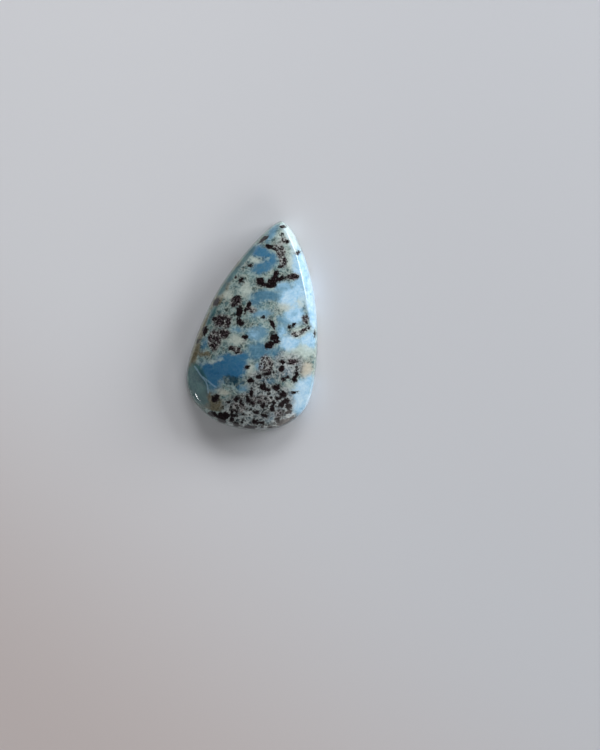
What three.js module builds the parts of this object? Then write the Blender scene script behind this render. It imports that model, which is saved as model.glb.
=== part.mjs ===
// A polished larimar cabochon: a leaning teardrop with a domed crown and a flat back.
// Millimetres, +Z up. It lies on its back at z = 0 with its tip towards +Y, and the middle
// of its outline's box is at x = y = 0.
import * as THREE from "three";

// The widest outline, seen from above and anticlockwise from the tip. The knots are closest
// where it turns most.
const OUTLINE_KNOTS = [
  [5.0, 17.4],
  [3.9, 17.05],
  [2.3, 15.8],
  [-2.1, 11.0],
  [-5.9, 5.6],
  [-9.5, -2.4],
  [-10.9, -7.8],
  [-10.6, -10.7],
  [-8.9, -13.6],
  [-5.3, -16.2],
  [0.3, -17.4],
  [5.4, -16.6],
  [8.9, -13.6],
  [10.5, -8.2],
  [10.9, -0.8],
  [10.1, 6.4],
  [8.3, 12.7],
  [6.1, 16.5],
];

// Heights and widths that the stone is ground to.
const BACK_BEVEL = 0.3;
const WALL_LEAN = 0.33; // how far the side wall leans in by its top
const WALL_TOP = 3.1;

// The crown is a dome: it falls as much over each reach from its top.
const CROWN_TOP = 6.2;
const CROWN_CENTRE = new THREE.Vector2(0.3, -4.0);
const CROWN_TURN = THREE.MathUtils.degToRad(77.5); // its long axis, from +X
const CROWN_FALL = 3.0;
const CROWN_REACH_TO_TIP = 23.5;
const CROWN_REACH_TO_ROUND_END = 14.5;
const CROWN_REACH_ACROSS = 10.2;

// The bevel between wall and crown is broad towards the upper right and narrow opposite.
const BEVEL_SLOPE_BROAD = 1.2; // rise per millimetre inwards
const BEVEL_SLOPE_NARROW = 2.2;
const BROAD_BEVEL_ANGLE = THREE.MathUtils.degToRad(35);

// The flat polished across the corner left of the round end.
const FACET_MIDDLE = new THREE.Vector2(-8.4, -9.0);
const FACET_TURN = THREE.MathUtils.degToRad(200); // the way it falls, from +X
const FACET_HEIGHT = 3.8;
const FACET_SLOPE = 0.75; // fall per millimetre outwards

const SHOULDER_ROUNDING = 0.25; // how softly crown, bevel and flat run into each other

// The mesh: meridians from the middle of the back over the edge to the crown's top.
const MERIDIANS = 108;
const BACK_SHARES = [0, 0.5];
// Inset and height of each ring from the flat of the back up the wall.
const WALL_STEPS = [
  [BACK_BEVEL, 0],
  [BACK_BEVEL * 0.35, BACK_BEVEL * 0.3],
  [0, BACK_BEVEL],
  [WALL_LEAN * 0.35, WALL_TOP * 0.62],
];
const TOP_INSETS = [WALL_LEAN, 0.45, 0.6, 0.8, 1.0, 1.25, 1.6, 2.2, 3.0];
const CROWN_SHARES = [0.14, 0.29, 0.45, 0.62, 0.8, 1];

// The smaller of two heights, rounded where they meet.
function softMin(a, b) {
  const nearness = Math.max(SHOULDER_ROUNDING - Math.abs(a - b), 0);
  return Math.min(a, b) - (nearness * nearness) / (4 * SHOULDER_ROUNDING);
}

function bevelSlope(angle) {
  const middle = (BEVEL_SLOPE_BROAD + BEVEL_SLOPE_NARROW) / 2;
  const swing = (BEVEL_SLOPE_NARROW - BEVEL_SLOPE_BROAD) / 2;
  return middle - swing * Math.cos(angle - BROAD_BEVEL_ANGLE);
}

function crownHeight(point) {
  const offset = point.clone().rotateAround(CROWN_CENTRE, -CROWN_TURN).sub(CROWN_CENTRE);
  const reach = offset.x > 0 ? CROWN_REACH_TO_TIP : CROWN_REACH_TO_ROUND_END;
  return CROWN_TOP - CROWN_FALL * ((offset.x / reach) ** 2 + (offset.y / CROWN_REACH_ACROSS) ** 2);
}

function facetHeight(point) {
  const offset = point.clone().rotateAround(FACET_MIDDLE, -FACET_TURN).sub(FACET_MIDDLE);
  return FACET_HEIGHT - FACET_SLOPE * offset.x;
}

// One meridian of the stone: where it leaves the outline and which way it runs inwards.
class Meridian {
  constructor(outline, at) {
    const here = outline.getPoint(at);
    const tangent = outline.getTangent(at);
    this.edge = new THREE.Vector2(here.x, here.y);
    this.inwards = CROWN_CENTRE.clone().sub(this.edge).normalize();
    this.angle = Math.atan2(-this.inwards.y, -this.inwards.x);
    // Insets are measured square to the outline, so a slanting meridian goes further.
    this.reach = 1 / this.inwards.dot(new THREE.Vector2(-tangent.y, tangent.x));
  }

  at(inset) {
    return this.edge.clone().addScaledVector(this.inwards, inset * this.reach);
  }

  // Height of the polished top over a point of this meridian.
  topHeight(point, inset) {
    const bevel = WALL_TOP + bevelSlope(this.angle) * (inset - WALL_LEAN);
    return softMin(softMin(crownHeight(point), bevel), facetHeight(point));
  }

  // Points from the middle of the back, round the edge, to the crown's top.
  points() {
    const made = [];
    const backEdge = this.at(BACK_BEVEL);
    for (const share of BACK_SHARES) {
      const point = CROWN_CENTRE.clone().lerp(backEdge, share);
      made.push([point.x, point.y, 0]);
    }
    for (const [inset, height] of WALL_STEPS) {
      const point = this.at(inset);
      made.push([point.x, point.y, height]);
    }
    for (const inset of TOP_INSETS) {
      const point = this.at(inset);
      made.push([point.x, point.y, this.topHeight(point, inset)]);
    }
    const lastInset = TOP_INSETS.at(-1);
    const shoulder = this.at(lastInset);
    for (const share of CROWN_SHARES) {
      const point = shoulder.clone().lerp(CROWN_CENTRE, share);
      const inset = lastInset + point.distanceTo(shoulder) / this.reach;
      made.push([point.x, point.y, this.topHeight(point, inset)]);
    }
    return made;
  }
}

// A lathe gives the closed skin, and its meridians are then moved onto the stone's own.
function cabochonGeometry() {
  const knots = OUTLINE_KNOTS.map(([x, y]) => new THREE.Vector3(x, y, 0));
  const outline = new THREE.CatmullRomCurve3(knots, true, "centripetal");
  const meridians = [];
  for (let i = 0; i < MERIDIANS; i++) {
    meridians.push(new Meridian(outline, i / MERIDIANS).points());
  }
  const levels = meridians[0].length;
  const section = meridians[0].map((_, level) => {
    const turn = (Math.PI * level) / (levels - 1);
    return new THREE.Vector2(Math.sin(turn), -Math.cos(turn));
  });
  const geometry = new THREE.LatheGeometry(section, MERIDIANS);
  const position = geometry.getAttribute("position");
  for (let i = 0; i <= MERIDIANS; i++) {
    meridians[i % MERIDIANS].forEach((point, level) => {
      position.setXYZ(i * levels + level, ...point);
    });
  }
  geometry.deleteAttribute("uv");
  geometry.computeVertexNormals();
  geometry.computeBoundingBox();
  const middle = geometry.boundingBox.getCenter(new THREE.Vector3());
  return geometry.translate(-middle.x, -middle.y, 0);
}

const larimar = new THREE.MeshStandardMaterial({
  color: 0x7fa9b8,
  roughness: 0.12,
  metalness: 0,
});

const stone = new THREE.Mesh(cabochonGeometry(), larimar);
stone.name = "larimar_cabochon";

const part = new THREE.Group();
part.add(stone);

export default part;
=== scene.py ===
"""A polished larimar cabochon on a pale floor, seen from straight above.

The stone is modelled as one closed skin that replaces the plain solid. Its markings are
ellipses that are painted on the skin as fields, and the material turns those fields into
pools of blue, pale clouds, granular ground and maroon spots.
"""
import math
import random

import bpy
import numpy as np
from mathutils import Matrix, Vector, noise


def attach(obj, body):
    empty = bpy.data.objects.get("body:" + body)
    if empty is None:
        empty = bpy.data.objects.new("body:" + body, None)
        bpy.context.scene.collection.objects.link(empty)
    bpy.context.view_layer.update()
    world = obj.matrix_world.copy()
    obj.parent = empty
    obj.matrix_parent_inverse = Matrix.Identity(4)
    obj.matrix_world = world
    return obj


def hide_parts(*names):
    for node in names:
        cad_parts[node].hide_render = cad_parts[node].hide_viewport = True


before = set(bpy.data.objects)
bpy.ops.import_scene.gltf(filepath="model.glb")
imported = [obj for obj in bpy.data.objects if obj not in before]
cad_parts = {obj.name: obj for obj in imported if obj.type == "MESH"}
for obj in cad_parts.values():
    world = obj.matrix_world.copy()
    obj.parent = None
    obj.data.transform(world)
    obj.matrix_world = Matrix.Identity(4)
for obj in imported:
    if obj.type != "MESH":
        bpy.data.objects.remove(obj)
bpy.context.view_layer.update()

MM = 0.001

# The widest outline, seen from above and anticlockwise from the tip, in millimetres.
OUTLINE_KNOTS = [
    (5.0, 17.4),
    (3.9, 17.05),
    (2.3, 15.8),
    (-2.1, 11.0),
    (-5.9, 5.6),
    (-9.5, -2.4),
    (-10.9, -7.8),
    (-10.6, -10.7),
    (-8.9, -13.6),
    (-5.3, -16.2),
    (0.3, -17.4),
    (5.4, -16.6),
    (8.9, -13.6),
    (10.5, -8.2),
    (10.9, -0.8),
    (10.1, 6.4),
    (8.3, 12.7),
    (6.1, 16.5),
]

# The stone's heights and widths in millimetres, as its solid has them.
BACK_BEVEL = 0.3
WALL_LEAN = 0.33
WALL_TOP = 3.1
CROWN_TOP = 6.2
CROWN_CENTRE = Vector((0.3, -4.0))
CROWN_TURN = math.radians(77.5)
CROWN_FALL = 3.0
CROWN_REACH_TO_TIP = 23.5
CROWN_REACH_TO_ROUND_END = 14.5
CROWN_REACH_ACROSS = 10.2
BEVEL_SLOPE_BROAD = 1.2
BEVEL_SLOPE_NARROW = 2.2
BROAD_BEVEL_ANGLE = math.radians(35)
FACET_MIDDLE = Vector((-8.4, -9.0))
FACET_TURN = math.radians(200)
FACET_HEIGHT = 3.8
FACET_SLOPE = 0.75
SHOULDER_ROUNDING = 0.25

# What polishing adds: the corner's flat rounds off towards the wall, and the top wavers.
FACET_EASED_WIDTH = 1.3
FACET_EASING = 0.15
HAND_WAVER = 0.012
HAND_WAVER_LENGTH = 2.6

# How finely the skin is made.
STEPS_PER_KNOT = 23
BACK_RINGS = 40
BEVEL_TURNS = (0, 30, 60, 90)  # degrees round the back's bevel
WALL_RINGS = 16
SHOULDER_RINGS = 30
SHOULDER_WIDTH = 3.0
SHOULDER_CROWDING = 1.3  # above 1, the rings are closest by the wall
CROWN_RINGS = 52

# The stone starts as a plain tube of this radius and this height from ring to ring.
TUBE_RADIUS = 11
TUBE_STEP = 0.1

# How far the markings' places drift, and over what length, in millimetres.
DRIFT = 0.3
DRIFT_LENGTH = 2.2

# How softly neighbouring markings run together, in millimetres.
SPOT_BLEND = 0.07
PATCH_BLEND = 0.2
TONE_BLEND = 0.35

# The painted pale highlight round the rim fades towards the round end: from this place along Y on,
# and by this much a millimetre.
RIM_FADES_BELOW = -11
RIM_FADING = 0.2

# The camera looks straight down. The picture's middle is to the right of and below the
# stone's, and the picture is 125 mm high.
PICTURE_MIDDLE = (7.95 * MM, -8.21 * MM)
PICTURE_HEIGHT = 125 * MM
CAMERA_HEIGHT = 400 * MM
SENSOR = 36.0
NEAREST_SEEN = 10 * MM

# The studio's air, brighter low down than overhead.
AIR_COLOR = (0.92, 0.97, 1.0, 1.0)
OVERHEAD_GLOW = 0.06
HORIZON_GLOW = 0.7

# Each light's name, azimuth from +X and angle from straight up in degrees, distance, width
# and height in metres, power in watts, and colour.
LIGHTS = [
    ("right_window", 27, 71, 0.8, 0.5, 0.3, 5.5, (0.94, 0.98, 1.0)),
    ("far_window", 80, 61, 0.8, 0.6, 0.28, 4.0, (0.97, 0.99, 1.0)),
    ("near_fill", 300, 62, 0.8, 0.5, 0.2, 1.3, (1.0, 0.98, 0.95)),
    ("left_fill", 150, 70, 0.8, 0.5, 0.2, 0.35, (1.0, 0.97, 0.93)),
    ("corner_glint", 202, 84, 0.5, 0.006, 0.014, 0.011, (1, 1, 1)),
]

FLOOR_SIZE = 3
FLOOR_ROUGHNESS = 0.7


def deselect_all():
    bpy.ops.object.select_all(action="DESELECT")


# Outline and heights of the stone.

def outline_points():
    """Points of the closed centripetal curve through the knots."""
    knots = [Vector(knot) for knot in OUTLINE_KNOTS]
    points = []
    for i in range(len(knots)):
        around = [knots[(i + k - 1) % len(knots)] for k in range(4)]
        times = [0.0]
        for before, after in zip(around, around[1:]):
            times.append(times[-1] + math.sqrt((after - before).length))
        for step in range(STEPS_PER_KNOT):
            time = times[1] + (times[2] - times[1]) * step / STEPS_PER_KNOT
            points.append(between_knots(around, times, time))
    return points


def between_knots(points, times, time):
    """One point of a Catmull-Rom stretch, by repeated blending of its four knots."""
    points = list(points)
    for reach in (1, 2, 3):
        blended = []
        for i in range(4 - reach):
            first = times[i] if reach < 3 else times[1]
            last = times[i + reach] if reach < 3 else times[2]
            share = (time - first) / (last - first)
            blended.append(points[i].lerp(points[i + 1], share))
        points = blended
    return points[0]


def soft_min(a, b):
    """The smaller of two heights, rounded where they meet."""
    nearness = max(SHOULDER_ROUNDING - abs(a - b), 0)
    return min(a, b) - nearness * nearness / (4 * SHOULDER_ROUNDING)


def along_and_across(point, centre, turn):
    """The point's place on axes turned about a centre."""
    offset = point - centre
    along = offset.x * math.cos(turn) + offset.y * math.sin(turn)
    across = offset.y * math.cos(turn) - offset.x * math.sin(turn)
    return along, across


def crown_height(point):
    along, across = along_and_across(point, CROWN_CENTRE, CROWN_TURN)
    reach = CROWN_REACH_TO_TIP if along > 0 else CROWN_REACH_TO_ROUND_END
    return CROWN_TOP - CROWN_FALL * ((along / reach) ** 2 + (across / CROWN_REACH_ACROSS) ** 2)


def facet_height(point, inset=SHOULDER_WIDTH):
    along, _ = along_and_across(point, FACET_MIDDLE, FACET_TURN)
    eased = max(0.0, FACET_EASED_WIDTH - inset)
    return FACET_HEIGHT - FACET_SLOPE * along - FACET_EASING * eased * eased


def waver(point):
    """The slight unevenness that polishing by hand leaves."""
    return HAND_WAVER * noise.noise(Vector((point.x, point.y, 0)) / HAND_WAVER_LENGTH)


class Meridian:
    """One way up the stone, from the middle of its back over the edge to the crown's top."""

    def __init__(self, before, edge, after):
        tangent = (after - before).normalized()
        self.edge = edge
        self.inwards = (CROWN_CENTRE - edge).normalized()
        # Insets are measured square to the outline, so a slanting meridian goes further.
        self.reach = 1 / self.inwards.dot(Vector((-tangent.y, tangent.x)))
        angle = math.atan2(-self.inwards.y, -self.inwards.x)
        middle = (BEVEL_SLOPE_BROAD + BEVEL_SLOPE_NARROW) / 2
        swing = (BEVEL_SLOPE_NARROW - BEVEL_SLOPE_BROAD) / 2
        self.bevel_slope = middle - swing * math.cos(angle - BROAD_BEVEL_ANGLE)

    def at(self, inset):
        return self.edge + self.inwards * (inset * self.reach)

    def raised(self, inset, height):
        point = self.at(inset)
        return Vector((point.x, point.y, height))

    def top_height(self, point, inset):
        bevel = WALL_TOP + self.bevel_slope * (inset - WALL_LEAN)
        height = soft_min(soft_min(crown_height(point), bevel), facet_height(point, inset))
        return height + waver(point)

    def points(self):
        """The points of every ring on this meridian, without the middles of back and crown."""
        return self.back_points() + self.wall_points() + self.top_points()

    def back_points(self):
        """The back, and round its bevel."""
        back_edge = self.at(BACK_BEVEL)
        made = []
        for ring in range(1, BACK_RINGS):
            made.append(CROWN_CENTRE.lerp(back_edge, ring / BACK_RINGS).to_3d())
        for turn in BEVEL_TURNS:
            inset = BACK_BEVEL * (1 - math.sin(math.radians(turn)))
            height = BACK_BEVEL * (1 - math.cos(math.radians(turn)))
            made.append(self.raised(inset, height))
        return made

    def wall_points(self):
        """Up the wall, which leans in more and more."""
        top = self.top_height(self.at(WALL_LEAN), WALL_LEAN)
        made = []
        for ring in range(1, WALL_RINGS):
            share = ring / WALL_RINGS
            inset = WALL_LEAN * share * share
            made.append(self.raised(inset, BACK_BEVEL + (top - BACK_BEVEL) * share))
        return made

    def top_points(self):
        """Over the shoulder and up the crown."""
        made = []
        for ring in range(SHOULDER_RINGS):
            share = ring / (SHOULDER_RINGS - 1)
            inset = WALL_LEAN + (SHOULDER_WIDTH - WALL_LEAN) * share ** SHOULDER_CROWDING
            made.append(self.raised(inset, self.top_height(self.at(inset), inset)))
        shoulder = self.at(SHOULDER_WIDTH)
        for ring in range(1, CROWN_RINGS):
            point = shoulder.lerp(CROWN_CENTRE, ring / CROWN_RINGS)
            inset = SHOULDER_WIDTH + (point - shoulder).length / self.reach
            made.append(Vector((point.x, point.y, self.top_height(point, inset))))
        return made


# The stone.

def cut_stone():
    """A circle is extruded ring by ring, and its rings are moved onto the stone's form."""
    outline = outline_points()
    count = len(outline)
    meridians = []
    for i in range(count):
        meridian = Meridian(outline[i - 1], outline[i], outline[(i + 1) % count])
        meridians.append(meridian.points())
    deselect_all()
    bpy.ops.mesh.primitive_circle_add(vertices=count, radius=TUBE_RADIUS * MM, location=(0, 0, 0))
    stone = bpy.context.object
    stone.name = "larimar_stone"
    bpy.ops.object.mode_set(mode="EDIT")
    bpy.ops.mesh.select_all(action="SELECT")
    step = {"value": (0, 0, TUBE_STEP * MM)}
    for _ in meridians[0][1:]:
        bpy.ops.mesh.extrude_region_move(TRANSFORM_OT_translate=step)
    bpy.ops.object.mode_set(mode="OBJECT")
    shape_rings(stone, meridians)
    close_middle(stone, is_top=False, height=0)
    close_middle(stone, is_top=True, height=CROWN_TOP + waver(CROWN_CENTRE))
    smooth_skin()
    return stone


def shape_rings(stone, meridians):
    """Moves each ring's points to their places, in the order that the circle runs."""
    count = len(meridians)
    levels = {}
    for vertex in stone.data.vertices:
        levels.setdefault(round(vertex.co.z / (TUBE_STEP * MM)), []).append(vertex)
    for level, ring in levels.items():
        ring.sort(key=lambda vertex: math.atan2(vertex.co.y, vertex.co.x) % math.tau)
        for i, vertex in enumerate(ring):
            vertex.co = meridians[i % count][level] * MM


def close_middle(stone, is_top, height):
    """A fan closes the hole that is left in the crown, or else in the back."""
    bpy.ops.object.mode_set(mode="EDIT")
    bpy.ops.mesh.select_mode(type="VERT")
    bpy.ops.mesh.select_all(action="DESELECT")
    bpy.ops.mesh.select_non_manifold()
    bpy.ops.object.mode_set(mode="OBJECT")
    vertices = stone.data.vertices
    for vertex in vertices:
        on_top = vertex.co.z > WALL_TOP * MM
        vertex.select = vertex.select and on_top == is_top
    for edge in stone.data.edges:
        edge.select = all(vertices[i].select for i in edge.vertices)
    bpy.ops.object.mode_set(mode="EDIT")
    bpy.ops.mesh.extrude_region_move(TRANSFORM_OT_translate={"value": (0, 0, 0)})
    bpy.ops.mesh.merge(type="CENTER")
    bpy.ops.object.mode_set(mode="OBJECT")
    for vertex in stone.data.vertices:
        if vertex.select:
            vertex.co = Vector((CROWN_CENTRE.x, CROWN_CENTRE.y, height)) * MM


def smooth_skin():
    """The active object's faces all point outwards, and are shaded smooth."""
    bpy.ops.object.mode_set(mode="EDIT")
    bpy.ops.mesh.select_all(action="SELECT")
    bpy.ops.mesh.normals_make_consistent(inside=False)
    bpy.ops.mesh.select_all(action="DESELECT")
    bpy.ops.object.mode_set(mode="OBJECT")
    bpy.ops.object.shade_smooth()


stone = cut_stone()
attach(stone, "root")
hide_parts("larimar_cabochon")


# Shader maths.

class Value:
    """A socket of a material's nodes that can be used in a Python expression."""

    def __init__(self, shader, socket):
        self.shader = shader
        self.socket = socket

    def calculate(self, operation, *others):
        vector = self.socket.type != "VALUE"
        kind = "ShaderNodeVectorMath" if vector else "ShaderNodeMath"
        inputs = dict(enumerate((self,) + others))
        return self.shader.node(kind, {"operation": operation}, inputs)

    def __add__(self, other):
        return self.calculate("ADD", other)

    __radd__ = __add__

    def __sub__(self, other):
        return self.calculate("SUBTRACT", other)

    def __rsub__(self, other):
        return self * -1 + other

    def __mul__(self, other):
        return self.calculate("MULTIPLY", other)

    __rmul__ = __mul__

    def along(self, way):
        """How far a vector reaches along a direction."""
        settings = {"operation": "DOT_PRODUCT"}
        return self.shader.node("ShaderNodeVectorMath", settings, {0: self, 1: way}, "Value")

    def grey(self):
        return self.shader.node("ShaderNodeRGBToBW", {}, {"Color": self})


class Shader:
    """A material's or the world's nodes, and the one way in which they are made."""

    def __init__(self, name="", tree=None):
        if tree is None:
            self.material = bpy.data.materials.new(name)
            self.material.use_nodes = True
            tree = self.material.node_tree
        self.nodes = tree.nodes
        self.links = tree.links
        self.nodes.clear()

    def node(self, kind, settings, inputs, output=0):
        made = self.nodes.new(kind)
        for name, value in settings.items():
            if name == "stops":
                self.set_stops(made.color_ramp, value)
            else:
                setattr(made, name, value)
        for name, value in inputs.items():
            if isinstance(value, Value):
                self.links.new(value.socket, made.inputs[name])
            else:
                made.inputs[name].default_value = value
        return Value(self, made.outputs[output]) if made.outputs else made

    @staticmethod
    def set_stops(ramp, stops):
        while len(ramp.elements) < len(stops):
            ramp.elements.new(1.0)
        for element, (position, color) in zip(ramp.elements, stops):
            element.position = position
            element.color = color

    def field(self, name):
        """A field that is painted on the mesh."""
        return self.node("ShaderNodeAttribute", {"attribute_name": name}, {}, "Fac")

    def ramp(self, value, stops):
        return self.node("ShaderNodeValToRGB", {"stops": stops}, {"Fac": value})

    def noise(self, place, scale, detail, roughness, output="Fac"):
        inputs = {"Vector": place, "Scale": scale, "Detail": detail, "Roughness": roughness}
        return self.node("ShaderNodeTexNoise", {}, inputs, output)

    def cells(self, place, scale, feature, output):
        inputs = {"Vector": place, "Scale": scale}
        return self.node("ShaderNodeTexVoronoi", {"feature": feature}, inputs, output)

    def between(self, value, low, high):
        """0 below low and 1 above high, or the other way round if low is the higher."""
        settings = {"interpolation_type": "SMOOTHSTEP"}
        if low < high:
            inputs = {"Value": value, "From Min": low, "From Max": high}
        else:
            inputs = {"Value": value, "From Min": high, "From Max": low, "To Min": 1.0, "To Max": 0.0}
        return self.node("ShaderNodeMapRange", settings, inputs)

    def mix(self, factor, a, b):
        """Colour a at 0 and colour b at 1. The node's colour sockets go by number."""
        return self.node("ShaderNodeMix", {"data_type": "RGBA"}, {0: factor, 6: a, 7: b}, 2)

    def show_surface(self, inputs):
        """The material shows one principled surface with these inputs."""
        surface = self.node("ShaderNodeBsdfPrincipled", {}, inputs)
        self.node("ShaderNodeOutputMaterial", {}, {"Surface": surface})


def srgb(red, green, blue):
    """A colour given as 0 to 255 on a screen, as the linear colour that a shader takes."""
    linear = []
    for channel in (red, green, blue):
        share = channel / 255
        linear.append(share / 12.92 if share <= 0.04045 else ((share + 0.055) / 1.055) ** 2.4)
    return (*linear, 1.0)


# The stone's markings, each an ellipse on the polished top: x, y, half length and half width
# in millimetres, and how far its length is turned from +X in degrees.
MAROON_SPOTS = [
    (5.1, 16.3, 0.42, 0.17, 15),
    (1.95, 14.3, 0.7, 0.33, 40),
    (4.95, 14.95, 0.25, 0.22, 0),
    (5.6, 13.8, 0.28, 0.2, 30),
    (2.95, 13.05, 0.65, 0.33, -5),
    (3.9, 12.6, 0.4, 0.22, -40),
    (4.45, 11.75, 0.25, 0.35, 0),
    (7.6, 11.95, 0.42, 0.25, 0),
    (5.45, 10.8, 0.3, 0.25, 0),
    (5.45, 10.1, 0.22, 0.2, 0),
    (4.8, 9.6, 0.3, 0.22, 0),
    (-0.1, 9.85, 0.25, 0.2, 0),
    (1.35, 7.2, 0.75, 0.6, -20),
    (2.3, 6.85, 0.6, 0.28, 0),
    (3.35, 6.6, 0.95, 0.4, 5),
    (3.5, 7.25, 0.7, 0.65, 0),
    (4.05, 8.3, 0.38, 0.65, 5),
    (4.8, 7.6, 0.7, 0.38, -5),
    (6.75, 7.9, 0.85, 0.4, -5),
    (-1.7, 7.3, 0.35, 0.48, -20),
    (-2.55, 7.8, 0.2, 0.18, 0),
    (-2.45, 4.3, 0.65, 0.6, 0),
    (-2.8, 3.4, 0.4, 0.35, 0),
    (-5.9, 3.8, 0.36, 0.65, -25),
    (-0.5, 3.2, 0.33, 0.6, -30),
    (-1.0, 2.4, 0.25, 0.3, 0),
    (-2.05, 2.1, 0.48, 0.9, -8),
    (-1.9, 0.45, 0.62, 0.5, 0),
    (-5.9, 1.0, 0.5, 0.45, 0),
    (-5.2, 0.3, 0.5, 0.4, 0),
    (-4.9, 1.1, 0.45, 0.3, 0),
    (-4.0, 0.3, 0.3, 0.65, 0),
    (-4.4, -1.5, 0.8, 0.55, 0),
    (-6.8, -2.0, 0.3, 0.4, 0),
    (-5.5, -2.6, 0.3, 0.5, 0),
    (-7.7, -0.9, 0.42, 0.6, -30),
    (-8.9, -2.55, 0.22, 0.42, -20),
    (-6.2, -3.4, 0.4, 0.5, 0),
    (-5.9, -2.2, 0.35, 0.3, 0),
    (1.8, 1.3, 0.33, 0.25, 0),
    (3.3, 0.2, 0.75, 0.28, -60),
    (-1.2, -2.2, 0.4, 0.33, -20),
    (-3.55, -3.7, 0.25, 0.2, 0),
    (-2.05, -3.95, 0.22, 0.2, 0),
    (-2.45, -4.4, 0.25, 0.2, 0),
    (3.65, -2.0, 0.62, 0.6, 0),
    (4.1, -2.7, 0.4, 0.4, 0),
    (2.9, -3.3, 0.8, 0.5, 35),
    (8.8, 1.35, 0.26, 0.14, 20),
    (9.1, 0.7, 0.14, 0.24, 0),
    (6.8, -0.05, 0.34, 0.2, 30),
    (7.0, -1.3, 0.16, 0.12, 0),
    (7.5, -1.7, 0.18, 0.12, 0),
    (6.1, -0.4, 0.2, 0.16, 0),
    (8.6, -0.8, 0.4, 0.22, 40),
    (9.3, -0.4, 0.22, 0.2, 0),
    (10.3, -1.5, 0.15, 0.3, 0),
    (4.95, -5.9, 0.38, 0.33, 0),
    (4.9, -7.05, 0.38, 0.5, 0),
    (6.8, -5.9, 0.5, 0.3, 0),
    (-0.7, -7.05, 0.33, 0.25, 0),
    (1.2, -8.6, 0.36, 0.42, -30),
    (2.5, -8.1, 0.6, 0.24, 15),
    (3.45, -7.8, 0.25, 0.22, 0),
    (2.97, -6.2, 0.25, 0.22, 0),
    (2.6, -7.4, 0.38, 0.2, 0),
    (7.3, -7.4, 0.2, 0.25, 0),
    (7.45, -8.05, 0.25, 0.2, 0),
    (5.35, -8.9, 0.33, 0.3, 0),
    (6.05, -8.4, 0.33, 0.24, 0),
    (7.05, -8.8, 0.38, 0.5, 0),
    (-0.2, -9.3, 0.5, 0.38, -15),
    (1.8, -10.0, 0.3, 0.45, -20),
    (2.3, -10.5, 0.55, 0.3, -20),
    (4.1, -10.2, 0.6, 0.52, 0),
    (6.95, -11.05, 0.42, 0.2, 0),
    (5.1, -11.4, 0.65, 0.5, -20),
    (4.3, -12.0, 0.45, 0.33, 0),
    (-0.05, -11.2, 0.28, 0.5, -15),
    (-0.6, -11.9, 0.35, 0.22, 0),
    (-5.9, -12.05, 0.62, 0.5, 10),
    (-3.8, -12.7, 0.3, 0.24, 0),
    (-2.5, -12.25, 0.42, 0.34, 30),
    (-1.6, -12.9, 0.3, 0.42, 20),
    (-0.9, -13.7, 0.22, 0.2, 0),
    (-0.4, -12.5, 0.28, 0.3, 0),
    (1.35, -12.4, 0.28, 0.25, 0),
    (0.3, -12.9, 0.38, 0.3, 0),
    (4.9, -13.1, 0.55, 0.4, 10),
    (2.0, -13.3, 0.28, 0.4, -20),
    (3.5, -12.8, 0.4, 0.3, 0),
    (3.4, -13.7, 0.3, 0.45, 15),
    (5.6, -12.6, 0.75, 0.4, 10),
    (6.2, -13.6, 0.45, 0.5, 0),
    (6.1, -14.5, 0.35, 0.3, 0),
    (0.85, -14.4, 0.33, 0.3, 0),
    (2.05, -14.9, 0.42, 0.33, 0),
    (-1.4, -14.55, 0.16, 0.16, 0),
    (-3.3, -14.3, 0.16, 0.22, 0),
    (-2.95, -13.95, 0.22, 0.16, 0),
    (-2.5, -14.25, 0.16, 0.22, 0),
    (-2.6, -14.8, 0.22, 0.18, 0),
    (-3.15, -14.85, 0.22, 0.16, 0),
    (-3.05, -15.6, 0.33, 0.4, 0),
    (-2.5, -16.4, 0.35, 0.25, 0),
    (-0.4, -16.8, 0.65, 0.3, 0),
    (0.45, -15.9, 0.5, 0.4, 0),
    (1.6, -16.1, 0.35, 0.25, 0),
    (4.3, -15.7, 0.4, 0.4, 0),
    (5.3, -16.1, 1.1, 0.45, 15),
    (3.1, -17.0, 0.35, 0.25, 0),
    (6.9, -15.4, 0.3, 0.25, 0),
    (-6.4, -14.8, 0.85, 0.36, -18),
    (-5.1, -15.0, 0.9, 0.6, 0),
    (-4.3, -14.8, 0.6, 0.45, 0),
    (-5.0, -15.7, 0.7, 0.55, -20),
]

# Patches of fine maroon specks, by the same measures.
SPECKLED_PATCHES = [
    (4.6, 12.4, 0.7, 1.2, 25),
    (5.2, 14.0, 0.5, 0.5, 0),
    (5.2, 10.4, 0.5, 0.9, 0),
    (6.7, 7.9, 1.0, 0.5, 0),
    (-0.1, 2.6, 0.8, 0.5, -20),
    (-2.6, 4.0, 0.8, 0.8, 0),
    (-4.9, 0.6, 1.35, 1.1, 0),
    (-6.1, -2.5, 1.1, 1.6, 0),
    (-4.6, -1.5, 0.9, 0.8, 0),
    (8.9, 1.1, 0.5, 0.6, 0),
    (8.7, -0.8, 0.5, 0.35, 0),
    (7.2, -1.3, 0.9, 0.35, 0),
    (-2.6, -4.0, 1.1, 0.5, -20),
    (2.4, -6.5, 1.1, 1.4, 0),
    (6.9, -5.8, 0.8, 0.4, 0),
    (1.5, -12.3, 1.6, 0.8, 0),
    (-2.2, -13.5, 1.2, 0.7, 0),
    (4.6, -14.5, 0.9, 0.7, 0),
]

# Patches of larger dark grains, by the same measures.
GRAIN_PATCHES = [
    (4.8, -6.8, 0.7, 1.3, 0),
    (6.8, -6.6, 1.0, 1.2, 0),
    (1.9, -8.3, 1.2, 0.5, 10),
    (0.3, -12.9, 2.6, 1.4, 0),
    (3.3, -12.4, 1.4, 1.7, 0),
    (5.5, -12.8, 0.9, 1.8, 0),
    (-2.6, -14.0, 1.6, 1.5, 0),
    (1.0, -14.7, 1.7, 0.9, 0),
    (-1.0, -16.2, 2.4, 0.7, 0),
    (2.5, -10.8, 2.2, 0.9, -20),
    (5.2, -15.8, 1.6, 0.7, 10),
    (0.6, -17.2, 5.5, 0.9, 0),
]
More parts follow.
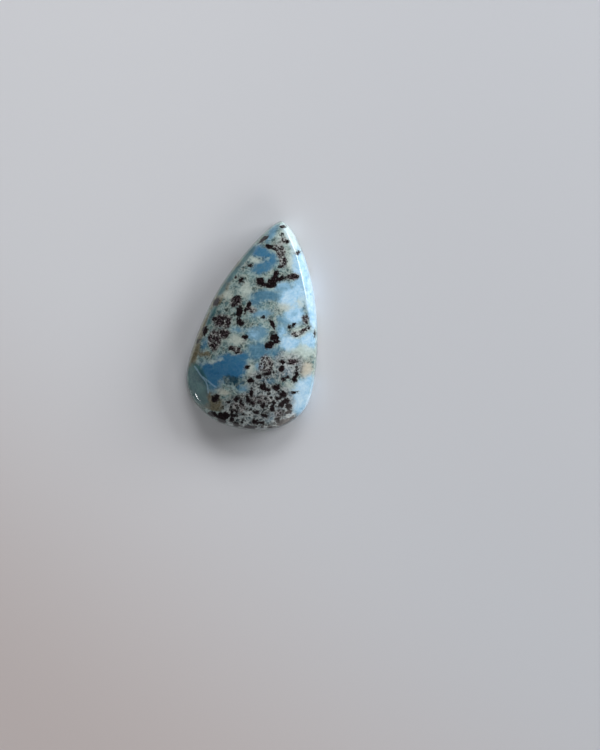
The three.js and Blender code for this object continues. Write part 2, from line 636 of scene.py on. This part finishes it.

# Pools of blue, with how deep the blue is: 0 is nearly white and 1 is the deepest. The palest
# pools down the right side and by the tip are partly painted reflection of the bright sky.
BLUE_POOLS_AND_SKY_REFLECTION = [
    (3.3, 15.2, 1.5, 0.65, 58, 0.42),
    (1.4, 12.0, 2.1, 0.95, -15, 0.72),
    (3.4, 10.9, 0.9, 1.1, 0, 0.65),
    (1.9, 9.5, 1.9, 0.9, 20, 0.62),
    (-7.7, -2.9, 0.5, 1.0, -20, 0.65),
    (2.3, 4.85, 2.4, 0.9, 0, 0.52),
    (0.7, 3.9, 1.0, 0.7, 0, 0.55),
    (5.4, 6.3, 1.7, 0.8, 0, 0.32),
    # The palest pools down the right side are partly painted reflection of the bright sky.
    (6.7, 4.4, 2.3, 1.9, 0, 0.09),
    (7.0, 1.6, 1.8, 1.6, 0, 0.14),
    (8.6, 9.0, 0.9, 3.8, 12, 0.12),
    (7.3, 9.6, 0.8, 2.4, 14, 0.14),
    (7.9, 6.6, 1.0, 1.2, 0, 0.18),
    (6.4, 14.6, 0.9, 2.4, 22, -0.05),
    (9.9, 4.0, 0.9, 5.0, 5, 0.1),
    (1.6, 1.9, 1.4, 0.7, 10, 0.42),
    (5.3, 0.6, 1.0, 0.9, 0, 0.38),
    (-2.5, -0.8, 0.9, 0.45, 0, 0.46),
    (0.6, -1.5, 1.5, 1.0, 0, 0.34),
    (1.7, -1.3, 0.8, 0.8, 0, 0.46),
    (1.4, -4.2, 1.9, 1.4, 10, 0.54),
    (4.0, -4.6, 1.1, 0.7, 0, 0.6),
    (6.2, -2.9, 1.7, 1.5, 0, 0.13),
    (9.3, -2.6, 1.4, 1.7, 0, 0.14),
    (4.9, -1.1, 0.7, 1.1, 0, 0.25),
    (-3.7, -6.9, 3.0, 2.1, 0, 0.8),
    (-6.6, -7.7, 2.3, 1.2, -28, 0.77),
    (-6.9, -8.9, 2.0, 1.0, -48, 0.74),
    (-1.7, -5.4, 2.0, 0.75, 12, 0.72),
    (-3.0, -8.9, 1.4, 1.1, 0, 1.1),
    (-6.7, -10.3, 1.0, 0.45, -48, 0.6),
    (-1.5, -10.6, 0.9, 0.6, 0, 0.42),
    (2.5, -9.1, 1.0, 0.5, 0, 0.48),
    (1.3, -6.6, 0.6, 0.7, 0, 0.35),
    (5.7, -7.4, 0.9, 0.9, 0, 0.32),
    (8.2, -12.0, 2.2, 2.9, -12, 0.1),
    (9.6, -9.6, 1.0, 1.6, 0, 0.14),
    (6.9, -15.0, 1.1, 0.6, 30, 0.25),
    (3.2, -15.1, 1.9, 0.7, 10, 0.4),
    (4.4, -13.9, 0.8, 0.6, 0, 0.34),
]

# Pale clouds, with how warm they are: 0 is greenish white and 1 is peach. The white clouds on
# the tip's right side are partly the stone's white and partly a painted highlight.
PALE_CLOUDS_AND_TIP_HIGHLIGHT = [
    (5.5, 2.9, 1.6, 0.7, -5, 0.35),
    (0.1, 10.8, 1.4, 0.45, -18, 0.2),
    (6.2, 10.6, 0.8, 1.7, 8, 0.1),
    # These two white clouds on the tip's right side are partly a painted highlight.
    (5.2, 14.2, 1.0, 1.6, 15, 0.0),
    (6.3, 15.0, 0.7, 1.9, 25, 0.0),
    (-4.1, 5.0, 1.2, 0.6, 0, 0.35),
    (-1.0, 5.8, 1.0, 1.3, 0, 0.2),
    (8.1, 3.8, 0.6, 0.8, 0, 0.25),
    (8.0, -1.1, 1.7, 0.9, 10, 0.1),
    (8.3, -4.5, 2.3, 1.2, 0, 0.1),
    (8.9, -7.2, 1.3, 1.6, 0, 0.9),
    (5.8, -5.0, 1.5, 0.8, 0, 0.2),
    (-2.5, -2.6, 1.4, 0.8, 0, 0.3),
    (-0.1, -7.6, 0.7, 1.5, 0, 0.3),
    (-4.7, -11.0, 1.5, 0.5, -8, 0.5),
    (6.3, -9.9, 0.9, 0.8, 0, 0.2),
    (-6.2, -5.9, 1.1, 0.35, 10, 0.1),
]

# Painted highlights along the ridges of the corner's flat, drawn as pale lines: both ends of each
# stretch.
PAINTED_RIDGE_HIGHLIGHTS = [
    (-9.4, -6.8, -8.1, -8.6),
    (-8.1, -8.6, -7.4, -9.9),
    (-7.4, -9.9, -7.05, -11.1),
    (-8.1, -8.4, -5.95, -10.25),
]

# Brown-green ground by the left edge and left of the round end: partly the stone's own colour,
# and along the left edge partly a painted shade and a painted warm reflection.
OLIVE_GROUND_AND_LEFT_SHADE = [
    (-9.5, -4.6, 2.4, 0.8, 74),
    (-9.9, -6.6, 0.9, 0.7, 0),
    (-7.9, -4.6, 1.0, 0.5, 0),
    (-6.7, -12.5, 2.3, 1.5, -30),
    (-5.3, 4.9, 3.0, 0.75, 60),
    (-8.3, -0.4, 2.6, 0.6, 68),
    (-2.5, 9.95, 1.8, 0.5, 50),
]

# Clear green-blue ground: the corner that the flat is ground through, patches down the left
# edge that are darker partly as painted shade, and a slate one near the round end.
TEAL_GROUND_AND_LEFT_SHADE = [
    (-9.0, -9.4, 3.4, 1.7, 105),
    (-8.3, -12.0, 1.6, 1.0, 125),
    # Down the left edge: partly a painted shade.
    (-0.9, 11.4, 2.0, 0.6, 52),
    (-3.1, 8.5, 1.8, 0.65, 53),
    (-4.9, 5.9, 1.3, 0.6, 54),
    (-6.3, 2.4, 1.1, 0.5, 60),
    (-7.0, 0.6, 1.0, 0.4, 66),
    (-0.2, -15.4, 1.3, 0.6, 0),
]

# Each kind's markings on the top, and how far they reach down past their half width.
SURFACED = {
    "maroon": (MAROON_SPOTS, 0.3),
    "grains": (GRAIN_PATCHES, 0.5),
    "specks": (SPECKLED_PATCHES, 0.5),
    "blue": (BLUE_POOLS_AND_SKY_REFLECTION, 1.6),
    "pale": (PALE_CLOUDS_AND_TIP_HIGHLIGHT, 1.2),
    "olive": (OLIVE_GROUND_AND_LEFT_SHADE, 1.5),
    "teal": (TEAL_GROUND_AND_LEFT_SHADE, 2.0),
}

# Below the polished top the markings end, and other ones show on the wall and the back: how
# many, their least and greatest half length, and how far below the top they stay.
BURIED = {
    "maroon": (230, (0.18, 0.8), 0.6),
    "grains": (40, (0.6, 1.6), 1.5),
    "specks": (30, (0.6, 1.4), 1.0),
    "blue": (48, (0.8, 3.0), 1.4),
    "pale": (22, (0.7, 1.8), 1.2),
}
BURIED_SEED = 11
BURIED_SPREAD = (11, 17.5)  # they lie this far to either side, along X and along Y
BURIED_WIDTHS = (0.6, 1.0)  # least and greatest share of the half length
BURIED_DEPTH = 0.9  # half a marking's depth, as a share of its half length
BURIED_REACH = 2.7  # how much further down than need be the lowest of them lie

# Pools and clouds have a tone: how deep the blue is, or how warm the cloud.
BURIED_TONES = {"blue": (0.1, 1.0), "pale": (0.0, 0.8)}


# The markings become fields on the stone's mesh.

def marking_depth(point):
    """How far a point is below the edge of the polished top."""
    flat = Vector((point.x, point.y))
    top = min(WALL_TOP, crown_height(flat), facet_height(flat))
    return max(0.0, top - point.z)


def marking_places(stone):
    """Every point of the mesh as x, y and depth in millimetres, drifted by slow noise."""
    places = []
    for vertex in stone.data.vertices:
        point = vertex.co / MM
        drift = noise.noise_vector(point / DRIFT_LENGTH) * DRIFT
        places.append((point.x + drift.x, point.y + drift.y, marking_depth(point)))
    return np.array(places)


def surfaced(markings, reach_down):
    """Markings that show on the top, with their depth and half depth."""
    return [(marking, 0.0, marking[3] + reach_down) for marking in markings]


def buried(draw, count, sizes, clearance, tones):
    """Markings that stay this far below the top, with their depth and half depth."""
    across, along = BURIED_SPREAD
    made = []
    for _ in range(count):
        size = draw.uniform(*sizes)
        shape = draw.uniform(*BURIED_WIDTHS)
        place = (draw.uniform(-across, across), draw.uniform(-along, along))
        marking = (*place, size, size * shape, draw.uniform(0, 180))
        if tones:
            marking += (draw.uniform(*tones),)
        half_depth = size * BURIED_DEPTH
        depth = half_depth + clearance + draw.uniform(0, BURIED_REACH)
        made.append((marking, depth, half_depth))
    return made


def edge_distance(places, marking, depth, half_depth):
    """Millimetres from one marking's edge, below 0 inside it."""
    x, y, half_length, half_width, turn = marking[:5]
    radius = math.sqrt(half_length * half_width)
    turn = math.radians(turn)
    right = places[:, 0] - x
    up = places[:, 1] - y
    along = (right * math.cos(turn) + up * math.sin(turn)) / half_length
    across = (up * math.cos(turn) - right * math.sin(turn)) / half_width
    down = (places[:, 2] - depth) / half_depth
    return (np.sqrt(along ** 2 + across ** 2 + down ** 2) - 1) * radius


def ridge_distance(places, stretch):
    """Millimetres from a straight stretch, and the depth below the top added."""
    start = np.array(stretch[:2])
    run = np.array(stretch[2:]) - start
    offset = places[:, :2] - start
    share = np.clip(offset @ run / (run @ run), 0, 1)
    return np.linalg.norm(offset - share[:, None] * run, axis=1) + places[:, 2]


def outline_distance(points):
    """Millimetres inside the outline, seen from above."""
    nearest = np.full(len(points), np.inf)
    for x, y in outline_points():
        nearest = np.minimum(nearest, np.hypot(points[:, 0] - x, points[:, 1] - y))
    return nearest


def paint_field(stone, name, values):
    field = stone.data.attributes.new(name, "FLOAT", "POINT")
    field.data.foreach_set("value", values.astype(np.float32))


def paint_kind(stone, places, kind, markings):
    """How far each point is from the nearest marking of a kind, and that marking's tone."""
    edges = np.array([edge_distance(places, *marking) for marking in markings])
    blend = SPOT_BLEND if kind == "maroon" else PATCH_BLEND
    nearest = -blend * np.logaddexp.reduce(-edges / blend, axis=0)
    paint_field(stone, kind, nearest)
    if kind in BURIED_TONES:
        weights = np.exp(-np.clip(edges - nearest, 0, None) / TONE_BLEND)
        tones = np.array([marking[5] for marking, _, _ in markings])
        tone = (weights * tones[:, None]).sum(axis=0) / weights.sum(axis=0)
        paint_field(stone, kind + "_tone", tone)


def paint_edges(stone, places):
    """How far each point is from the ridges that get a painted highlight, and from the outline."""
    ridges = [ridge_distance(places, stretch) for stretch in PAINTED_RIDGE_HIGHLIGHTS]
    paint_field(stone, "ridge", np.minimum.reduce(ridges))
    # The rim field places the pale highlight that is painted round the rim.
    points = np.array([vertex.co / MM for vertex in stone.data.vertices])
    past = np.clip(RIM_FADES_BELOW - points[:, 1], 0, None)
    paint_field(stone, "rim", outline_distance(points) + places[:, 2] + past * RIM_FADING)


def paint_markings(stone):
    places = marking_places(stone)
    draw = random.Random(BURIED_SEED)
    for kind, (markings, reach_down) in SURFACED.items():
        shown = surfaced(markings, reach_down)
        if kind in BURIED:
            shown += buried(draw, *BURIED[kind], BURIED_TONES.get(kind))
        paint_kind(stone, places, kind, shown)
    paint_edges(stone, places)


paint_markings(stone)


# The polished stone's material.

class Larimar(Shader):
    """The stone's colours, laid over each other kind by kind, and its polish.

    After the ground, each kind's method takes the colour so far and gives it back with its
    own markings on it.
    """

    def __init__(self):
        super().__init__(name="larimar_polished")
        metres = self.node("ShaderNodeTexCoord", {}, {}, "Object")
        place = metres * (1 / MM, 1 / MM, 1 / MM)
        self.place = place

        # Noise at the sizes of the stone's clouds, of its markings' edges and of its grain.
        self.slow = self.noise(place, 0.45, 3.0, 0.5) - 0.5
        self.ragged = self.noise(place, 1.2, 4.0, 0.6) - 0.5
        self.crumbly = self.noise(place + (7, 3, 5), 3.0, 3.0, 0.6) - 0.5
        self.grain = self.noise(place + (2, 9, 4), 2.3, 5.0, 0.66)
        self.fine_grain = self.noise(place + (5, 1, 8), 6.5, 3.0, 0.7)
        swirl = self.noise(place, 1.0, 2.0, 0.5, "Color") - (0.5, 0.5, 0.5)
        self.swirled = place + swirl * (1.8, 1.8, 1.8)

        # A pale net, and the shade of the granular ground in its meshes.
        edge = self.cells(self.swirled, 1.25, "DISTANCE_TO_EDGE", "Distance")
        self.net = self.between(edge + self.crumbly * 0.3, 0.16, 0.0)
        cell_shade = self.cells(self.swirled, 1.25, "F1", "Color").grey()
        shade = self.grain * 0.65 + (self.fine_grain - 0.5) * 0.35
        self.ground_shade = shade + self.slow * 0.3 + cell_shade * 0.35

        # How much of each kind there is at a point, where more than one method asks for it.
        self.speckled = self.between(self.field("specks") + self.ragged * 0.9, 0.35, -0.25)
        teal_edge = self.field("teal") + self.slow * 0.6 + self.ragged * 0.9
        self.teal = self.between(teal_edge, 0.4, -0.5)
        notches = self.noise(place + (4, 4, 1), 2.0, 3.0, 0.6) - 0.5
        spot_edge = self.field("maroon") + self.ragged * 0.3 + notches * 1.15
        self.spot_edge = spot_edge + (self.fine_grain - 0.5) * 0.55
        self.maroon = self.between(self.spot_edge, 0.25, -0.05)
        self.speck_distance = self.cells(place, 2.7, "F1", "Distance") + self.crumbly * 0.5

        self.finish(self.color())

    def color(self):
        color = self.ground()
        color = self.blue_pools_and_sky_reflection(color)
        color = self.pale_clouds_and_tip_highlight(color)
        color = self.clear_ground_and_left_shade(color)
        color = self.grey_round_grains(color)
        color = self.fine_specks(color)
        color = self.dark_grains(color)
        color = self.maroon_spots(color)
        return self.painted_ridge_and_rim_highlights(color)

    def ground(self):
        """Blue-grey cells in a pale net, washed, murky and olive in places; the olive along the left
        edge is partly painted shade and a painted warm reflection.
        """
        color = self.ramp(self.ground_shade, [
            (0.32, srgb(36, 46, 44)),
            (0.43, srgb(72, 90, 88)),
            (0.53, srgb(106, 126, 122)),
            (0.68, srgb(168, 183, 174)),
        ])
        wash = self.between(self.noise(self.place + (3, 3, 3), 0.9, 3.0, 0.6), 0.4, 0.56)
        washed = self.mix(self.grain, srgb(46, 78, 84), srgb(138, 170, 172))
        color = self.mix(wash * 0.75, color, washed)
        murk = self.between(self.noise(self.place + (9, 2, 7), 0.75, 3.0, 0.6), 0.48, 0.64)
        color = self.mix(murk * 0.55, color, srgb(46, 58, 56))
        color = self.mix(self.net * 0.55, color, srgb(186, 196, 188))
        # Olive: along the left edge partly a painted shade and a painted warm reflection.
        olive = self.between(self.field("olive") + self.ragged * 1.5, 0.4, -0.35)
        olive_color = self.mix(self.grain, srgb(40, 34, 20), srgb(140, 122, 86))
        return self.mix(olive * 0.8, color, olive_color)

    def blue_pools_and_sky_reflection(self, color):
        """Clouded with white, deepest and clearest in their middles, and lacy at the edge. The
        palest, down the right side and by the tip, are partly painted reflection of the bright sky.
        """
        edge = self.field("blue") + self.ragged * 1.7 + self.crumbly * 0.5
        blue = self.between(edge, 0.7, -0.6)
        clouds = self.noise(self.swirled, 1.1, 4.0, 0.6) - 0.5
        deep = self.field("blue_tone") + self.slow * 0.25 - clouds * 0.5 + self.ragged * 0.2
        blue_color = self.ramp(deep, [
            (0.00, srgb(208, 231, 246)),
            (0.16, srgb(162, 204, 233)),
            (0.36, srgb(112, 154, 178)),
            (0.56, srgb(76, 120, 144)),
            (0.74, srgb(52, 112, 150)),
            (0.86, srgb(40, 104, 148)),
            (1.00, srgb(24, 62, 78)),
        ])
        color = self.mix(blue * 0.92, color, blue_color)
        lacy = self.between(edge, 0.9, 0.3) * self.between(edge, -0.6, 0.1)
        lacy = lacy * self.between(clouds, -0.02, 0.16)
        return self.mix(lacy * 0.5, color, srgb(180, 202, 200))

    def pale_clouds_and_tip_highlight(self, color):
        """From greenish white to peach, and on the tip's right side partly a painted white highlight.
        """
        edge = self.field("pale") + self.ragged * 2.2 + self.crumbly * 0.8
        pale = self.between(edge, 0.45, -0.75)
        cool_cloud = self.mix(self.grain, srgb(138, 161, 154), srgb(230, 243, 237))
        warm_cloud = self.mix(self.grain, srgb(160, 152, 138), srgb(234, 218, 196))
        cloud = self.mix(self.field("pale_tone"), cool_cloud, warm_cloud)
        return self.mix(pale * 0.8, color, cloud)

    def clear_ground_and_left_shade(self, color):
        """Green-blue, and clear enough to look dark; down the left edge darker partly as painted
        shade.
        """
        clearness = self.between(self.slow, -0.2, 0.2)
        teal_color = self.mix(clearness, srgb(34, 80, 90), srgb(72, 116, 116))
        return self.mix(self.teal * 0.88, color, teal_color)

    def grey_round_grains(self, color):
        """Round the grains everything is greyer, with pale threads."""
        grainy = self.between(self.field("grains") + self.ragged * 1.6, 1.5, 0.0)
        greyer = self.ramp(self.ground_shade, [
            (0.36, srgb(28, 31, 35)),
            (0.50, srgb(80, 88, 94)),
            (0.68, srgb(168, 175, 176)),
        ])
        color = self.mix(grainy * 0.85, color, greyer)
        return self.mix(self.net * grainy * 0.5, color, srgb(200, 203, 200))

    def fine_specks(self, color):
        """Maroon specks between pinkish flecks, and some strewn round the maroon spots."""
        flecks = self.between(self.fine_grain, 0.4, 0.62)
        fleck_color = self.mix(flecks, srgb(74, 56, 63), srgb(196, 192, 188))
        color = self.mix(self.speckled * 0.7, color, fleck_color)
        specks = self.between(self.speck_distance, 0.6, 0.46) * self.speckled
        color = self.mix(specks * 0.92, color, srgb(28, 14, 18))
        strewn = self.between(self.field("maroon") + self.ragged * 1.0, 0.42, 0.05)
        chance = self.between(self.cells(self.place, 2.7, "F1", "Color").grey(), 0.45, 0.6)
        strewn = strewn * chance * self.between(self.speck_distance, 0.5, 0.36)
        return self.mix(strewn * 0.85, color, srgb(26, 14, 18))

    def dark_grains(self, color):
        """Larger than the specks, with pale rims."""
        crowding = self.between(self.field("grains") + self.ragged * 1.0, 0.5, -0.3)
        distance = self.cells(self.place, 1.45, "F1", "Distance") + self.crumbly * 0.25
        chance = self.between(self.cells(self.place, 1.45, "F1", "Color").grey(), 0.2, 0.36)
        grains = self.between(distance, 0.47, 0.36) * chance * crowding
        rims = self.between(distance, 0.66, 0.5) * chance * crowding
        color = self.mix(rims * 0.3, color, srgb(170, 178, 176))
        return self.mix(grains * 0.95, color, srgb(20, 12, 14))

    def maroon_spots(self, color):
        """Nearly black, with broken pale rims and a few flecks inside."""
        rims = self.between(self.spot_edge, 0.55, 0.2) * self.between(self.crumbly, -0.1, 0.15)
        color = self.mix(rims * 0.25, color, srgb(182, 186, 182))
        flecked = self.between(self.fine_grain + self.speckled * 0.03, 0.56, 0.7)
        fleck_color = self.mix(self.speckled, srgb(84, 66, 72), srgb(150, 134, 140))
        maroon_color = self.mix(flecked, srgb(15, 5, 7), fleck_color)
        return self.mix(self.maroon, color, maroon_color)

    def painted_ridge_and_rim_highlights(self, color):
        """Painted highlights: pale lines along the ridges of the corner's flat, and a pale highlight
        painted round the stone's rim.
        """
        # A painted highlight along the ridges of the corner's flat.
        ridge = self.between(self.field("ridge") + self.crumbly * 0.1, 0.2, 0.02)
        color = self.mix(ridge * 0.65, color, srgb(158, 190, 214))
        # A pale highlight painted round the stone's rim.
        rim = self.between(self.field("rim") + self.crumbly * 0.15, 0.6, 0.35)
        return self.mix(rim * 0.3, color, srgb(190, 204, 190))

    def finish(self, color):
        """The softer spots take less polish, and are undercut a little by it. The clear
        corner takes the most."""
        roughness = self.maroon * 0.08 - self.teal * 0.045 + (self.fine_grain - 0.5) * 0.05
        relief = self.maroon * -0.5 + self.crumbly * 0.15
        inputs = {"Height": relief, "Strength": 0.5, "Distance": 0.03 * MM}
        bump = self.node("ShaderNodeBump", {}, inputs)
        self.show_surface({
            "Base Color": color,
            "Roughness": roughness + 0.085,
            "IOR": 1.55,
            "Normal": bump,
        })


stone.data.materials.append(Larimar().material)


# The floor, the light and the camera.

def lay_floor():
    """Pale, a little lighter to the left, and warmer and darker near the lower left corner, where a
    shadow is painted.
    """
    deselect_all()
    bpy.ops.mesh.primitive_plane_add(size=FLOOR_SIZE, location=(0, 0, 0))
    floor = bpy.context.object
    floor.name = "floor"
    shader = Shader(name="pale_floor")
    place = shader.node("ShaderNodeTexCoord", {}, {}, "Object")
    to_left = shader.between(place.along((-1, 0, 0)), -0.06, 0.05)
    color = shader.mix(to_left, srgb(208, 208, 213), srgb(224, 223, 227))
    # A warm painted shadow near the lower left corner.
    near_left_painted_shadow = shader.between(place.along((-0.6, -0.8, 0)), 0.01, 0.08)
    color = shader.mix(near_left_painted_shadow, color, srgb(206, 194, 192))
    shader.show_surface({"Base Color": color, "Roughness": FLOOR_ROUGHNESS})
    floor.data.materials.append(shader.material)


def direction(azimuth, from_vertical):
    """The way to a light, from angles in degrees."""
    azimuth = math.radians(azimuth)
    from_vertical = math.radians(from_vertical)
    return Vector((
        math.sin(from_vertical) * math.cos(azimuth),
        math.sin(from_vertical) * math.sin(azimuth),
        math.cos(from_vertical),
    ))


def hang_light(name, azimuth, from_vertical, distance, width, height, power, color):
    """A soft light that faces the stone."""
    lamp = bpy.data.lights.new(name, "AREA")
    lamp.shape = "RECTANGLE"
    lamp.size = width
    lamp.size_y = height
    lamp.energy = power
    lamp.color = color
    holder = bpy.data.objects.new(name, lamp)
    bpy.context.collection.objects.link(holder)
    away = direction(azimuth, from_vertical)
    holder.location = away * distance
    holder.rotation_euler = away.to_track_quat("Z", "Y").to_euler()


def studio_air():
    """Dim air overhead that grows brighter towards the horizon."""
    world = bpy.data.worlds.new("studio_air")
    world.use_nodes = True
    air = Shader(tree=world.node_tree)
    way = air.node("ShaderNodeTexCoord", {}, {}, "Generated")
    glow = air.between(way.along((0, 0, 1)), 0.55, 0.15) * HORIZON_GLOW + OVERHEAD_GLOW
    background = air.node("ShaderNodeBackground", {}, {"Color": AIR_COLOR, "Strength": glow})
    air.node("ShaderNodeOutputWorld", {}, {"Surface": background})
    bpy.context.scene.world = world


def light_studio():
    """Soft windows low all round the stone, the strongest on the right."""
    studio_air()
    for light in LIGHTS:
        hang_light(*light)
    bpy.context.scene.view_settings.view_transform = "Standard"


def set_camera():
    lens = bpy.data.cameras.new("camera")
    lens.sensor_width = SENSOR
    lens.lens = SENSOR * CAMERA_HEIGHT / PICTURE_HEIGHT
    lens.clip_start = NEAREST_SEEN
    camera = bpy.data.objects.new("camera", lens)
    bpy.context.collection.objects.link(camera)
    camera.location = (*PICTURE_MIDDLE, CAMERA_HEIGHT)
    bpy.context.scene.camera = camera


lay_floor()
light_studio()
set_camera()
